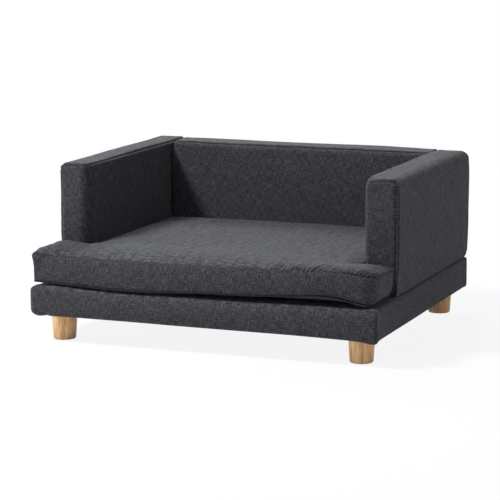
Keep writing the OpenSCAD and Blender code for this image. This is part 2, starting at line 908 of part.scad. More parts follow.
base_cover();
base_top_foam();
base_edge_foam();
deck_board();
front_rail();
rear_rail();
left_rail();
right_rail();
center_rail();
corner_blocks();
frame_screws();
dust_cover();
staples();
leg_front_left();
leg_front_right();
leg_rear_left();
leg_rear_right();
hanger_bolts();
leg_nuts();
foot_glides();
left_arm_cover();
left_arm_foam();
left_arm_bottom_rail();
left_arm_top_rail();
left_arm_front_post();
left_arm_rear_post();
left_arm_inner_skin();
left_arm_outer_skin();
arm_cover();  // right_arm_cover
arm_foam();  // right_arm_foam
arm_bottom_rail();  // right_arm_bottom_rail
arm_top_rail();  // right_arm_top_rail
arm_front_post();  // right_arm_front_post
arm_rear_post();  // right_arm_rear_post
arm_inner_skin();  // right_arm_inner_skin
arm_outer_skin();  // right_arm_outer_skin
back_cover();
back_foam();
back_bottom_rail();
back_top_rail();
back_left_post();
back_right_post();
back_middle_post();
back_front_skin();
back_rear_skin();
arm_bolts();
back_bolts();
bolt_washers();
panel_nuts();
seat_cushion_cover();
seat_cushion_core();
zip_tape();
zip_chain();
zip_slider();
zip_pull();
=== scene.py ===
"""Dog sofa bed: upholstery, materials, light and camera round the frame. Metres, +Z up, +Y to the rear."""

import itertools
import json
import math

import bpy
import numpy as np
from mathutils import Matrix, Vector, kdtree, noise


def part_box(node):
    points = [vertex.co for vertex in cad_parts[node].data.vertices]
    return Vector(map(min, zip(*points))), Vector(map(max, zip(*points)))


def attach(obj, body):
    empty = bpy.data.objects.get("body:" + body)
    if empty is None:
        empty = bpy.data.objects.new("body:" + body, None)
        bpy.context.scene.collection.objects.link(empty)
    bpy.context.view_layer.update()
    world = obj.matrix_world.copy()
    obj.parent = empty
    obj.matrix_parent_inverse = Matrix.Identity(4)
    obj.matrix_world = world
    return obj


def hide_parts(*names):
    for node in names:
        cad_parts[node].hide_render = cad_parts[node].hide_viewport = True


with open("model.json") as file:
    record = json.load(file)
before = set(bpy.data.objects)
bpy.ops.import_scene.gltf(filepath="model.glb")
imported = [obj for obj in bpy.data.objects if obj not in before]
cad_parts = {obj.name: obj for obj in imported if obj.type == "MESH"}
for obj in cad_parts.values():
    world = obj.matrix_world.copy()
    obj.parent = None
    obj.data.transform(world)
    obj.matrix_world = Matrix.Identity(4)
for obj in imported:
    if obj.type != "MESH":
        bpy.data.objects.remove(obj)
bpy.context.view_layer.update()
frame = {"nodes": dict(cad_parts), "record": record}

MM = 0.001


def box_of(node):
    """The lower and upper corner of a node."""
    return np.array(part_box(node))


def add_object(name, data):
    piece = bpy.data.objects.new(name, data)
    bpy.context.scene.collection.objects.link(piece)
    return piece


# Places and sizes that the frame gives
ARM_LO, ARM_HI = box_of("right_arm_cover")
SEAT_LO, SEAT_HI = box_of("seat_cushion_cover")


# Node trees


class Nodes:
    """Short calls for building the node tree of a material or of the world."""

    def __init__(self, owner):
        owner.use_nodes = True
        self.owner, self.tree = owner, owner.node_tree
        self.shader = self.tree.nodes.get("Principled BSDF")

    def put(self, socket, value):
        """Links an output to a socket, or sets the socket's own value."""
        if hasattr(value, "is_output"):
            self.tree.links.new(value, socket)
        else:
            socket.default_value = value

    def add(self, kind, *values, **settings):
        """A node with its own settings, and with values or links for its first sockets."""
        node = self.tree.nodes.new(kind)
        for key, value in settings.items():
            setattr(node, key, value)
        for socket, value in zip(node.inputs, values):
            self.put(socket, value)
        return node

    def fill(self, node, **values):
        """Puts values or links into a node's sockets by their names, with _ for a space."""
        for key, value in values.items():
            self.put(node.inputs[key.replace("_", " ")], value)
        return node

    def set(self, **values):
        self.fill(self.shader, **values)

    def math(self, operation, *values, clamp=False):
        return self.add("ShaderNodeMath", *values, operation=operation, use_clamp=clamp).outputs[0]

    def combine(self, x, y):
        return self.add("ShaderNodeCombineXYZ", x, y).outputs[0]

    def noise(self, vector, scales, detail, roughness):
        """Noise with a scale of its own along each axis."""
        scaled = self.add("ShaderNodeVectorMath", vector, scales, operation="MULTIPLY").outputs[0]
        node = self.add("ShaderNodeTexNoise")
        self.fill(node, Vector=scaled, Scale=1.0, Detail=detail, Roughness=roughness)
        return node.outputs["Fac"]

    def ramp(self, factor, stops):
        node = self.add("ShaderNodeValToRGB", factor)
        elements = node.color_ramp.elements
        while len(elements) < len(stops):
            elements.new(0.5)
        for element, (place, color) in zip(elements, stops):
            element.position = place
            element.color = (*color, 1)
        return node.outputs["Color"]

    def bump(self, height, distance, strength):
        node = self.add("ShaderNodeBump")
        self.fill(node, Height=height, Distance=distance, Strength=strength)
        self.set(Normal=node.outputs["Normal"])

    def total(self, *pairs):
        """The sum of some values, each times its weight."""
        result = 0.0
        for value, weight in pairs:
            result = self.math("MULTIPLY_ADD", value, weight, result)
        return result

    def blend(self, a, b, share):
        """a where the share is 0 and b where it is 1."""
        return self.total((a, self.math("SUBTRACT", 1.0, share)), (b, share))

    def place(self):
        return self.add("ShaderNodeTexCoord").outputs["Object"]

    def flat_place(self):
        """Two coordinates in the plane that the surface faces most, and whether that is up or sideways."""
        at = self.add("ShaderNodeTexCoord").outputs
        x, y, z = self.add("ShaderNodeSeparateXYZ", at["Object"]).outputs
        facing = self.add("ShaderNodeSeparateXYZ", at["Normal"]).outputs
        nx, ny, nz = (self.math("ABSOLUTE", way) for way in facing)
        up = self.math("GREATER_THAN", nz, self.math("MAXIMUM", nx, ny))
        side = self.math("GREATER_THAN", nx, self.math("MAXIMUM", ny, nz))
        return self.blend(x, y, side), self.blend(z, y, up), up, side


# Camera, light and stage

WHITE = (1, 1, 1, 1)


def make_camera():
    azimuth, elevation = math.radians(20.97), math.radians(9.6)
    distance, sensor, focal_px, frame_px = 4.604, 36.0, 2215.4, 500
    target = Vector((-0.0164, 0, 0.1573))
    level = math.cos(elevation)
    back = Vector((math.sin(azimuth) * level, -math.cos(azimuth) * level, math.sin(elevation)))
    data = bpy.data.cameras.new("camera")
    data.sensor_width = sensor
    data.lens = focal_px * sensor / frame_px
    data.clip_end = 60
    camera = add_object("camera", data)
    camera.location = target + distance * back
    camera.rotation_euler = (-back).to_track_quat("-Z", "Y").to_euler()
    bpy.context.scene.camera = camera


def make_lights():
    """A high key from the left, two soft boxes overhead and a low fill on each side."""
    seat = Vector((0, 0, 0.2))
    for name, place, size, power in (
        ("key", (-1.48, -1.24, 2.5), 0.5, 105),
        ("front_top", (-0.3, -1.3, 3.0), 1.2, 15),
        ("rear_top", (-0.8, 2.2, 2.2), 1.2, 56),
        ("left_fill", (-3.2, -0.6, 0.5), 1.4, 62),
        ("right_fill", (2.8, -0.5, 1.5), 1.2, 13),
    ):
        data = bpy.data.lights.new(name, "AREA")
        data.shape = "SQUARE"
        data.size = size
        data.energy = power
        lamp = add_object(name, data)
        lamp.location = place
        lamp.rotation_euler = (seat - Vector(place)).to_track_quat("-Z", "Y").to_euler()
    world = bpy.data.worlds.new("studio")
    bpy.context.scene.world = world
    n = Nodes(world)
    ambient = n.fill(n.tree.nodes["Background"], Color=WHITE, Strength=0.02)
    backdrop = n.fill(n.add("ShaderNodeBackground"), Color=WHITE, Strength=1)
    mix = n.add("ShaderNodeMixShader", seen_by_camera(n), ambient.outputs[0], backdrop.outputs[0])
    n.fill(n.tree.nodes["World Output"], Surface=mix.outputs[0])


def seen_by_camera(n):
    """1 for rays that show the background: those of the camera, of gloss and of transmission."""
    ray = n.add("ShaderNodeLightPath").outputs
    either = n.math("MAXIMUM", ray["Is Camera Ray"], ray["Is Glossy Ray"])
    return n.math("MAXIMUM", either, ray["Is Transmission Ray"])


def make_floor():
    """A pale floor that looks white, the more so further away, and keeps a faint shadow of the sofa."""
    half = 14.0
    mesh = bpy.data.meshes.new("floor")
    outline = [(-half, -half, 0), (half, -half, 0), (half, half, 0), (-half, half, 0)]
    mesh.from_pydata(outline, [], [(0, 1, 2, 3)])
    n = Nodes(bpy.data.materials.new("floor"))
    n.tree.nodes.remove(n.shader)
    diffuse = n.fill(n.add("ShaderNodeBsdfDiffuse"), Color=(0.82, 0.82, 0.82, 1))
    glow = n.fill(n.add("ShaderNodeEmission"), Color=WHITE)
    away = n.add("ShaderNodeVectorMath", n.place(), operation="LENGTH").outputs["Value"]
    whiter = n.add("ShaderNodeMapRange")
    n.fill(whiter, Value=away, From_Min=0.9, From_Max=2.6, To_Min=0.89, To_Max=1.0)
    share = n.math("MULTIPLY", seen_by_camera(n), whiter.outputs["Result"])
    mix = n.add("ShaderNodeMixShader", share, diffuse.outputs[0], glow.outputs[0])
    n.fill(n.tree.nodes["Material Output"], Surface=mix.outputs[0])
    mesh.materials.append(n.owner)
    add_object("floor", mesh)


# Materials


def cloth_material(name, dark, middle, light, sheen):
    """Heathered plain weave: slubbed warp and weft over a fine weave, with painted shade in the seams."""
    n = Nodes(bpy.data.materials.new(name))
    u, v, up, side = n.flat_place()
    fine, slub, thread = 1000, 75, 1.3 * MM
    wide = n.math("MULTIPLY", u, n.math("MULTIPLY_ADD", side, -0.25, 1.0))
    tall = n.math("MULTIPLY_ADD", up, -0.84, n.math("MULTIPLY_ADD", side, -0.15, 1.0))
    flat = n.combine(wide, n.math("MULTIPLY", v, tall))
    warp = n.noise(flat, (fine, slub, 1), 2.0, 0.7)
    weft = n.noise(flat, (slub, fine, 1), 2.0, 0.7)
    heather = n.noise(n.combine(u, v), (800, 800, 1), 1.5, 0.7)
    broad = n.noise(flat, (22, 22, 1), 2.0, 0.5)
    yarns = n.total((warp, 0.4), (weft, 0.35), (heather, 0.25))
    tone = n.math("MULTIPLY_ADD", n.math("SUBTRACT", broad, 0.5), 0.04, yarns)
    # The heather is the cloth's own colour; raising its contrast on faces that look up or sideways paints
    # yarn shading into it.
    contrast = n.math("MULTIPLY_ADD", side, 0.45, n.math("MULTIPLY_ADD", up, 0.3, 1.0))
    tone = n.math("MULTIPLY_ADD", n.math("SUBTRACT", tone, 0.5), contrast, 0.5)
    color = n.ramp(tone, [(0.446, dark), (0.5, middle), (0.556, light)])
    # Painted shade: the seam attribute multiplies the colour towards near black along seams and stitch pits,
    # standing in for their shadow.
    seam = n.add("ShaderNodeAttribute", attribute_name="seam")
    shade = n.add("ShaderNodeMix", data_type="RGBA", blend_type="MULTIPLY")
    n.put(shade.inputs[0], n.math("MULTIPLY", seam.outputs["Fac"], 0.9, clamp=True))
    n.put(shade.inputs[6], color)
    shade.inputs[7].default_value = (0.12, 0.12, 0.13, 1)
    across = n.math("SINE", n.math("MULTIPLY", u, 2 * math.pi / thread))
    along = n.math("SINE", n.math("MULTIPLY", v, 2 * math.pi / thread))
    weave = n.math("MULTIPLY", across, along)
    n.bump(n.total((weave, 0.3), (yarns, 8.0)), 0.3 * MM, 0.8)
    n.set(Base_Color=shade.outputs[2], Roughness=0.88, Specular_IOR_Level=0.18)
    n.set(Sheen_Weight=sheen, Sheen_Roughness=0.42, Sheen_Tint=(0.86, 0.88, 0.94, 1))
    return n.owner


def wood_material(name, stops, grain, pores, roughness, coat, along=2):
    """Grain that runs along one axis: growth streaks, a fine figure and pores."""
    n = Nodes(bpy.data.materials.new(name))
    at, axes = n.place(), np.arange(3) == along
    streak = n.noise(at, np.where(axes, 0.09, 1) * grain, 3.0, 0.62)
    figure = n.noise(at, np.where(axes, 0.09, 1) * grain * 4.5, 2.0, 0.6)
    pore = n.noise(at, np.where(axes, 0.04, 1) * pores, 2.0, 0.6)
    tone = n.total((streak, 0.62), (figure, 0.38))
    dark_pore = n.math("MULTIPLY", n.math("LESS_THAN", pore, 0.36), 0.075)
    n.set(Base_Color=n.ramp(n.math("SUBTRACT", tone, dark_pore), stops), Roughness=roughness)
    n.set(Coat_Weight=coat, Coat_Roughness=0.3, Specular_IOR_Level=0.4)
    n.bump(n.total((pore, 1.0), (streak, 0.5)), 0.12 * MM, 0.6)
    return n.owner


def speckled_material(name, dark, light, scale, depth, roughness, metallic):
    """A finish with fine grain in its colour and surface, such as foam, zinc or moulded plastic."""
    n = Nodes(bpy.data.materials.new(name))
    grain = n.noise(n.place(), [scale] * 3, 3.0, 0.6)
    wear = n.noise(n.place(), [scale * 0.07] * 3, 2.0, 0.5)
    tone = n.total((grain, 0.7), (wear, 0.3))
    n.set(Base_Color=n.ramp(tone, [(0.35, dark), (0.65, light)]), Metallic=metallic)
    n.set(Roughness=n.math("MULTIPLY_ADD", wear, 0.16, roughness - 0.08))
    n.bump(grain, depth, 0.6)
    return n.owner


# Finishes with a fine grain: dark and light colour, grains per metre, their depth, roughness and metal
SPECKLED = {
    "foam": ((0.62, 0.55, 0.33), (0.86, 0.8, 0.58), 1400, 0.4 * MM, 0.9, 0),
    "zinc_steel": ((0.42, 0.42, 0.4), (0.68, 0.68, 0.66), 500, 0.04 * MM, 0.36, 1),
    "glide": ((0.018, 0.018, 0.019), (0.04, 0.04, 0.042), 1500, 0.05 * MM, 0.5, 0),
    "dust_cloth": ((0.009, 0.009, 0.01), (0.026, 0.026, 0.028), 1100, 0.2 * MM, 0.92, 0),
    "zip_teeth": ((0.018, 0.019, 0.022), (0.045, 0.046, 0.052), 900, 0.05 * MM, 0.42, 0),
    "zip_metal": ((0.03, 0.03, 0.033), (0.085, 0.085, 0.09), 700, 0.03 * MM, 0.34, 0.8),
    "seam_thread": ((0.012, 0.012, 0.014), (0.034, 0.035, 0.04), 2500, 0.05 * MM, 0.8, 0),
}


def make_materials():
    dark, middle, light = (0.0158, 0.0164, 0.0202), (0.0336, 0.035, 0.0415), (0.083, 0.0857, 0.0968)
    leg_stops = [(0.39, (0.54, 0.27, 0.1)), (0.5, (0.86, 0.51, 0.235)), (0.61, (0.97, 0.68, 0.38))]
    pine_stops = [(0.35, (0.5, 0.31, 0.14)), (0.5, (0.66, 0.46, 0.25)), (0.65, (0.76, 0.58, 0.36))]
    board_stops = [(0.35, (0.22, 0.13, 0.065)), (0.5, (0.34, 0.21, 0.11)), (0.65, (0.44, 0.29, 0.16))]
    materials = {
        "upholstery": cloth_material("upholstery", dark, middle, light, 0.1),
        "leg_wood": wood_material("leg_wood", leg_stops, 165, 1000, 0.46, 0.12),
        "timber": wood_material("timber", pine_stops, 60, 700, 0.72, 0, along=0),
        "board": wood_material("board", board_stops, 150, 900, 0.7, 0, along=0),
    }
    for name, finish in SPECKLED.items():
        materials[name] = speckled_material(name, *finish)
    return materials


# Shape tools


def rise(value, start, length):
    """0 up to the start, then straight up to 1 over a length."""
    return np.clip((value - start) / length, 0, 1)


def fall(value, start, length):
    """1 up to the start, then straight down to 0 over a length."""
    return np.clip(1 - (value - start) / length, 0, 1)


def bell(away, width):
    """1 at zero, with a soft fall on both sides."""
    return np.exp(-((away / width) ** 2))


def graded(a, b, marks, fine, coarse):
    """Places from a to b: fine beside each mark and growing to coarse away from them."""
    places = [a]
    while places[-1] < b:
        away = min(abs(places[-1] - mark) for mark in marks)
        places.append(places[-1] + min(coarse, fine + 0.32 * away))
    places = np.array(places)
    return a + (places - a) * (b - a) / (places[-1] - a)


def cell(i, j):
    """The four corners of a cell of a grid."""
    return (i, j), (i + 1, j), (i + 1, j + 1), (i, j + 1)


def box_faces(*grids):
    """Points on the surface of a box on three grids, and the quads that join them."""
    index, quads = {}, []
    last = [len(grid) - 1 for grid in grids]
    for a, b, c in ((0, 1, 2), (0, 2, 1), (1, 2, 0)):
        for i, j, end in itertools.product(range(last[a]), range(last[b]), (0, last[c])):
            quad = []
            for place in cell(i, j):
                corner = [end, end, end]
                corner[a], corner[b] = place
                quad.append(index.setdefault(tuple(corner), len(index)))
            quads.append(quad[::-1] if (end == 0) == (c != 1) else quad)
    return np.array([[grid[k] for grid, k in zip(grids, corner)] for corner in index]), quads


def rounded(x, y, lo, hi, radii, bows):
    """Signed distance to a rectangle with round corners and bowed sides. Radii are those of the lower
    right, upper right, upper left and lower left corner, and bows those of the right, upper, left and
    lower side."""
    cx, cy = (lo[0] + hi[0]) / 2, (lo[1] + hi[1]) / 2
    hx, hy = (hi[0] - lo[0]) / 2, (hi[1] - lo[1]) / 2
    tx, ty = np.clip((x - cx) / hx, -1, 1), np.clip((y - cy) / hy, -1, 1)
    right, upper = x >= cx, y >= cy
    wide = hx - np.where(right, bows[0], bows[2]) * MM * ty**2
    tall = hy - np.where(upper, bows[1], bows[3]) * MM * tx**2
    r = np.where(right, np.where(upper, radii[1], radii[0]), np.where(upper, radii[2], radii[3])) * MM
    qx, qy = abs(x - cx) - wide + r, abs(y - cy) - tall + r
    return np.minimum(np.maximum(qx, qy), 0) + np.hypot(np.maximum(qx, 0), np.maximum(qy, 0)) - r


def soft_max(a, b, k):
    """The larger of two values, rounded off where they are nearly the same."""
    return np.maximum(a, b) + np.maximum(k - abs(a - b), 0) ** 2 / (4 * k)


class Padded:
    """A padded block: a box whose two ends are shifted by some millimetres, and three outlines that
    bound it, each with its radii and bows."""

    def __init__(self, box, low, high, front, side, plan):
        self.lo, self.hi = box[0] + np.array(low) * MM, box[1] + np.array(high) * MM
        self.front, self.side, self.plan = front, side, plan
        self.depth = min(24 * MM, 0.45 * min(self.hi - self.lo))

    def distance(self, p):
        lo, hi, k = self.lo, self.hi, 1.5 * MM
        x, y, z = p.T
        front = rounded(x, z, (lo[0], lo[2]), (hi[0], hi[2]), *self.front)
        side = rounded(y, z, (lo[1], lo[2]), (hi[1], hi[2]), *self.side)
        plan = rounded(x, y, (lo[0], lo[1]), (hi[0], hi[1]), *self.plan)
        return soft_max(soft_max(front, side, k), plan, k)

    def onto(self, points):
        """Moves points of the box's surface onto the padded form."""
        roots = np.clip(points, self.lo + self.depth, self.hi - self.depth)
        ways = points - roots
        near, far = np.zeros(len(points)), np.full(len(points), 1.15)
        for _ in range(24):
            middle = (near + far) / 2
            inside = self.distance(roots + ways * middle[:, None]) < 0
            near, far = np.where(inside, middle, near), np.where(inside, far, middle)
        return roots + ways * near[:, None]

    def facing(self, points):
        e = 0.2 * MM
        ends = [(points + e * axis, points - e * axis) for axis in np.eye(3)]
        slope = np.transpose([self.distance(a) - self.distance(b) for a, b in ends])
        return slope / np.maximum(np.linalg.norm(slope, axis=1, keepdims=True), 1e-9)

    def mesh(self, marks, fine, coarse):
        """Points, quads and outward directions. marks are places along x, y and z to keep fine."""
        grids = [graded(a, b, [a, b, *keep], fine, coarse) for a, b, keep in zip(self.lo, self.hi, marks)]
        points, quads = box_faces(*grids)
        points = self.onto(points)
        return points, quads, self.facing(points)

    def seam(self, line):
        """A line near the surface as close points on it."""
        return self.onto(dense(np.array(line), 1.5 * MM, closed=False))


def lengths(line):
    """Length of a line up to each of its points."""
    return np.concatenate([[0], np.cumsum(np.linalg.norm(np.diff(line, axis=0), axis=1))])


def dense(line, spacing, closed=True):
    """Points at an even spacing along a line."""
    if closed:
        line = np.concatenate([line, line[:1]])
    length = lengths(line)
    at = np.arange(0, length[-1] + spacing / 2, spacing)
    return np.stack([np.interp(at, length, line[:, k]) for k in range(3)], -1)


def arc(centre, radius, start, end, plane):
    """Eight points on an arc in a plane of two axes, with angles in degrees."""
    a, b = np.eye(3)[list(plane)]
    turns = np.radians(np.linspace(start, end, 8))
    return [centre + radius * (a * math.cos(turn) + b * math.sin(turn)) for turn in turns]


def wobble(points, size, seed, stretch=(1, 1, 1)):
    """Smooth noise from -1 to 1 whose bumps are about size across."""
    scaled = points / (size * np.array(stretch)) + np.array([seed * 7.31, seed * 3.17, seed * 5.71])
    return np.array([noise.noise(Vector(p)) for p in scaled])


def curve_through(x, pairs):
    """A smooth curve through pairs of place and height in millimetres."""
    at, height = np.array(pairs).T * MM
    fine = np.linspace(at[0], at[-1], 400)
    values = np.interp(fine, at, height)
    width = 18
    kernel = np.hanning(2 * width + 1)
    smooth = np.convolve(np.pad(values, width, "edge"), kernel / kernel.sum(), "valid")
    return np.interp(x, fine, smooth)


def tree_of(points):
    """A search tree that finds the nearest of some points."""
    tree = kdtree.KDTree(len(points))
    for i, p in enumerate(points):
        tree.insert(p, i)
    tree.balance()
    return tree


def nearest_on(points, line, reach):
    """Distance to the nearest point of a dense line, and the length along it there, within reach."""
    tree, length = tree_of(line), lengths(line)
    away, along = np.full(len(points), 1.0), np.zeros(len(points))
    low, high = line.min(0) - reach, line.max(0) + reach
    for i in np.flatnonzero(np.all((points > low) & (points < high), axis=1)):
        _, number, distance = tree.find(points[i])
        away[i], along[i] = distance, length[number]
    return away, along


def gathers(along, away, pitch, seed):
    """Uneven little pleats beside a seam, from -1 to 1, slanting as they leave it."""
    slant, length = 0.35, 7
    at = [along / pitch + away / pitch * slant, away / (pitch * length), np.full(len(along), seed * 9.1)]
    return np.array([noise.noise(Vector(p)) for p in np.stack(at, -1)]) * 2


def pleats_beside(points, line, reach, pitch, seed, lean=1.0):
    """Distance to a seam, and the height of the gathers beside it."""
    away, along = nearest_on(points, line, reach)
    near = away < reach
    pleats = np.zeros(len(points))
    pleats[near] = gathers(along[near], away[near] * lean, pitch, seed)
    return away, pleats


def sewn(points, normals, seams, groove, puff, pucker, seed, width=1.2 * MM):
    """Sinks each seam, swells the cloth beside it and gathers it a little. Gives a painted shade along each
    seam too.
    """
    dark, move = np.zeros((2, len(points)))
    for number, line in enumerate(seams):
        away, pleats = pleats_beside(points, line, 45 * MM, 8.5 * MM, seed + number)
        cut = bell(away, 1.7 * MM)
        move += -groove * cut + puff * bell(away - 7 * MM, 5 * MM)
        move += pucker * pleats * np.exp(-away / (11 * MM)) * (1 - 0.5 * cut)
        # Painted shade along the seam line.
        dark = np.maximum(dark, bell(away, width))
    return points + normals * move[:, None], dark


def make_object(name, points, faces, material, seam=0.0):
    """A smooth mesh in one material, with the painted shade of its seams as an attribute."""
    mesh = bpy.data.meshes.new(name)
    mesh.from_pydata(points, [], faces)
    mesh.polygons.foreach_set("use_smooth", [True] * len(mesh.polygons))
    attribute = mesh.attributes.new("seam", "FLOAT", "POINT")
    attribute.data.foreach_set("value", np.zeros(len(points)) + seam)
    mesh.materials.append(material)
    mesh.update()
    return add_object(name, mesh)


def finish_piece(piece, body, nodes=()):
    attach(piece, body)
    if nodes:
        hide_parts(*nodes)
    return piece


def make_cover(name, points, faces, dark, body, node):
    """A sewn cover that shows in place of a CAD one; dark is the painted shade of its seams."""
    cover = make_object(name, points, faces, MATERIALS["upholstery"], dark)
    return finish_piece(cover, body, [node])


def bands(rings):
    """The quads between each ring of point numbers and the next."""
    faces = []
    for low, high in zip(rings, rings[1:]):
        for k in range(len(low)):
            m = (k + 1) % len(low)
            faces.append([low[k], low[m], high[m], high[k]])
    return faces


def compact(points, quads, values):
    """Drops the points that no quad uses."""
    used, new = np.unique(quads, return_inverse=True)
    return points[used], new.reshape(-1, 4).tolist(), values[used]


def foam_round(name, form, inset, timber, nodes, bend):
    """The foam inside a cover: the cover's own form, set inwards, round the box of some timber nodes.
    bend gives how far the cover's points are moved, and the foam's move alike."""
    points, faces, normals = form.mesh(((), (), ()), 2.5 * MM, 18 * MM)
    points = points + bend(form, points)
    low, high = zip(*map(box_of, timber))
    x, y, z = zip(np.min(low, axis=0), np.max(high, axis=0))
    corners = np.array([(a, b, c) for c in z for b in y for a in x])
    walls = [(0, 1, 3, 2), (4, 6, 7, 5), (0, 4, 5, 1), (2, 3, 7, 6), (0, 2, 6, 4), (1, 5, 7, 3)]
    inner = (len(points) + np.array(walls)).tolist()
    every = np.concatenate([points - normals * inset, corners])
    piece = make_object(name, every, faces + inner, MATERIALS["foam"])
    for polygon in piece.data.polygons[len(faces) :]:
        polygon.use_smooth = False
    return finish_piece(piece, "frame", nodes)


def stitch_row(name, surface, facing, line, pitch, length, radius):
    """A row of short stitches that lie along a line on a surface."""
    tree, places = tree_of(surface), dense(line, pitch, closed=False)
    points, faces, sides = [], [], 6
    rings = ((-0.5, 0.35), (-0.38, 0.9), (0.38, 0.9), (0.5, 0.35))
    for a, b in zip(places[:-1], places[1:]):
        _, i, _ = tree.find((a + b) / 2)
        up = facing[i]
        way = (b - a) - up * ((b - a) @ up)
        way /= np.linalg.norm(way)
        across = np.cross(up, way)
        middle = surface[i] + ((a + b) / 2 - surface[i]) @ way * way + up * radius * 0.35
        first = len(points)
        for share, thick in rings:
            for turn in np.arange(sides) * 2 * math.pi / sides:
                ring = across * math.cos(turn) + up * math.sin(turn) * 0.7
                points.append(middle + way * share * length + ring * thick * radius)
        loops = (first + np.arange(len(rings) * sides)).reshape(-1, sides).tolist()
        faces += [*bands(loops), loops[0][::-1], loops[-1]]
    return make_object(name, np.array(points), faces, MATERIALS["seam_thread"])


def mirror(piece, side):
    """Turns a piece drawn for the right into one for the left."""
    if side > 0:
        return
    for vertex in piece.data.vertices:
        vertex.co.x = -vertex.co.x
    piece.data.flip_normals()


# Arms, back and base

# Spacing of the grid beside the edges of a padded piece and in its middle
FINE, COARSE = ((0.9 * MM, 4.5 * MM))
# Depth of an arm's seam under its top, and where its upright part starts
SEAM_DROP, UNDER_TOP = 5.5 * MM, 8 * MM
# How the photo's two arms differ, in millimetres: bulge of the outer side, height added to the top,
# radii of its inner edge, its rear edge and the upright edge, distance of the seam from the outer
# edge, give of the inner corner, rise of the top's rear end and swell of the inner face
ARM_SHAPES = {
    -1: dict(
        word="left", seed=3, bulge=1.2, top=4.6, inner_top=8, rear_top=8, turn=24,
        edge=3.5, give=4, rear_rise=3, swell=0,
    ),
    1: dict(
        word="right", seed=8, bulge=6, top=4.5, inner_top=5, rear_top=15, turn=10,
        edge=7.5, give=8, rear_rise=-2.2, swell=1.8,
    ),
}


def arm_form(shape):
    """An arm on the right. Its front and inner face are one panel round a soft upright edge."""
    bulge = shape["bulge"]
    front = ((5, 19, shape["inner_top"], 5), (bulge - 1, 2.2, 1, 0))
    side = ((22, shape["rear_top"], 5.5, 4.5), (3, 2.7, 2, 0))
    plan = ((7, 7, 3, shape["turn"]), (1, 2, 0.8, 1.2))
    return Padded((ARM_LO, ARM_HI), (0.2, -2, 0.3), (bulge, 2, shape["top"]), front, side, plan)


def arm_seam(form, shape):
    """The seam runs along the top's inner edge, across the front under the top and down the outer side."""
    lo, hi, turn = form.lo, form.hi, shape["turn"] * MM
    top, inner, high = hi[2] - SEAM_DROP, lo[0] + 1.5 * MM, hi[2] - 3.2 * MM
    line = [(inner, hi[1] - 2 * MM, high), (inner, lo[1] + turn, high)]
    corner = arc((inner + turn, lo[1] + turn, high), turn, 188, 268, (0, 1))
    shares = np.linspace(0.1, 1, len(corner))
    line += [p - (0, 0, share * (high - top)) for p, share in zip(corner, shares)]
    bend, outer = 7 * MM, hi[0] - shape["edge"] * MM
    line += arc((outer - bend, lo[1], top - bend), bend, 90, 0, (0, 2))
    line += [(outer, lo[1], lo[2] + 40 * MM), (outer - 0.5 * MM, lo[1], lo[2])]
    return form.seam(line)


def upright_part(seam, top, below=UNDER_TOP):
    """The part of an arm's seam that runs down its front."""
    return seam[seam[:, 2] < top - below]


def soft_corner(form, points, size):
    """How far the padding gives way at the arm's inner top front corner."""
    x, y, z = points.T
    near = bell(np.hypot(x - form.lo[0], y - form.lo[1]), 17 * MM)
    sunk = size * near * fall(form.hi[2] - z, 0, 26 * MM) ** 1.5
    return np.outer(sunk, (0.75, 0.3, -0.8))


def inner_swell(form, points, size):
    """How far along x the inner face swells towards the seat at its front, above the cushion."""
    x, y, z = points.T
    above = rise(z, SEAT_HI[2] - 10 * MM, 20 * MM)
    return -size * bell(y - form.lo[1], 55 * MM) * above * fall(x, form.lo[0], 20 * MM)


def stitch_pits(points, seam, top):
    """Strength of the pits that the stitches pull beside the upright seam, more so near the top: it sets
    their depth and their painted shade.
    """
    pitch, aside, width = 8 * MM, 3.2 * MM, 1.9 * MM
    away, along = nearest_on(points, upright_part(seam, top), 12 * MM)
    fade = np.clip(1.15 - (top - points[:, 2]) / (150 * MM), 0.2, 1)
    pits = np.clip(np.cos(along * 2 * math.pi / pitch), 0, 1) ** 1.3
    return pits * fade * bell(away - aside, width)


def gathered_at_top(points, seam, top, seed):
    """Puckers beside the upright seam, strongest under the arm's top. Gives heights."""
    upright = upright_part(seam, top)
    away, pleats = pleats_beside(points, upright, 26 * MM, 6.5 * MM, seed, 0.3)
    fade = np.clip(1 - (top - points[:, 2]) / (80 * MM), 0.14, 1) ** 1.4
    height = 1.7 * MM * pleats * fade * np.exp(-away / (6 * MM))
    return height - 1.8 * MM * stitch_pits(points, seam, top)


def arm_surface(form, seam, shape):
    """Points, quads and outward directions of an arm's cover, with the painted shade of its seam."""
    lo, hi, seed = form.lo, form.hi, shape["seed"]
    gathered = np.arange(hi[2] - 125 * MM, hi[2] - 5 * MM, 4 * MM)
    marks = ((hi[0] - shape["edge"] * MM,), (), (hi[2] - SEAM_DROP, *gathered))
    points, quads, normals = form.mesh(marks, FINE, COARSE)
    x, y, z = points.T
    uneven = wobble(points, 120 * MM, seed) * 1.3 * MM + wobble(points, 38 * MM, seed + 1) * 0.4 * MM
    uneven *= rise(z, lo[2], 12 * MM) * np.clip((x - lo[0]) / (6 * MM), 0.15, 1)
    uneven += gathered_at_top(points, seam, hi[2], seed + 2)
    moved = points + normals * uneven[:, None]
    raised = fall(hi[1] - y, 0, 120 * MM) ** 2 * rise(z, hi[2] - 60 * MM, 60 * MM)
    moved[:, 2] += shape["rear_rise"] * MM * raised
    # The painted seam shade is wider along the inner top edge.
    inner_edge = (x < lo[0] + 20 * MM) & (y > lo[1] + 14 * MM)
    width = np.where(inner_edge, 1.8, 1.1) * MM
    moved, dark = sewn(moved, normals, [seam], 1.7 * MM, 0.6 * MM, 0.4 * MM, seed, width)
    # Painted shade in the stitch pits.
    dark = np.maximum(dark, stitch_pits(points, seam, hi[2]))
    moved += soft_corner(form, points, shape["give"] * MM)
    moved[:, 0] += inner_swell(form, points, shape["swell"] * MM)
    return moved, quads, normals, dark


